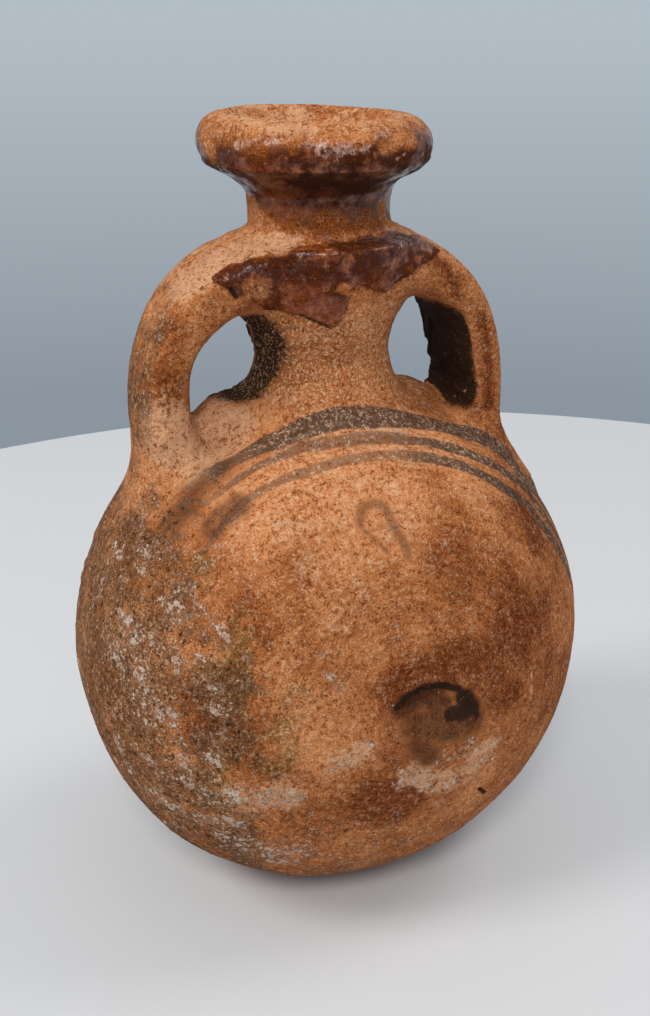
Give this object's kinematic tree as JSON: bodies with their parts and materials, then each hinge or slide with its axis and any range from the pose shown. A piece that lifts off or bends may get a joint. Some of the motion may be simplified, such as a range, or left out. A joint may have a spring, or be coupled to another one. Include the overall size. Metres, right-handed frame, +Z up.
{
  "type": "pilgrim flask",
  "caption": "Round-bellied clay flask with a narrow neck, rolled lip and two strap handles for a cord.",
  "frame": {"origin": "lowest point of the round belly, where a ring stand carries it", "axes": "+X to the right handle, -Y out of the painted face, +Z up through the mouth"},
  "size_m": [0.0868, 0.0674, 0.1301],
  "materials": {
    "painted_clay": "smoothed fired clay with worn dark painted bands, soil crust and stains",
    "plain_clay": "matt, gritty fired clay with pale soil crust",
    "slipped_clay": "burnished dark red-brown slip, worn to orange clay at the edges"
  },
  "bodies": {
    "root": {"front_bowl": "painted_clay", "back_bowl": "plain_clay", "neck_tube": "plain_clay", "root_coil": "plain_clay", "mouth": "slipped_clay", "neck_collar": "slipped_clay", "left_handle": "plain_clay", "right_handle": "plain_clay"}
  },
  "joints": []
}
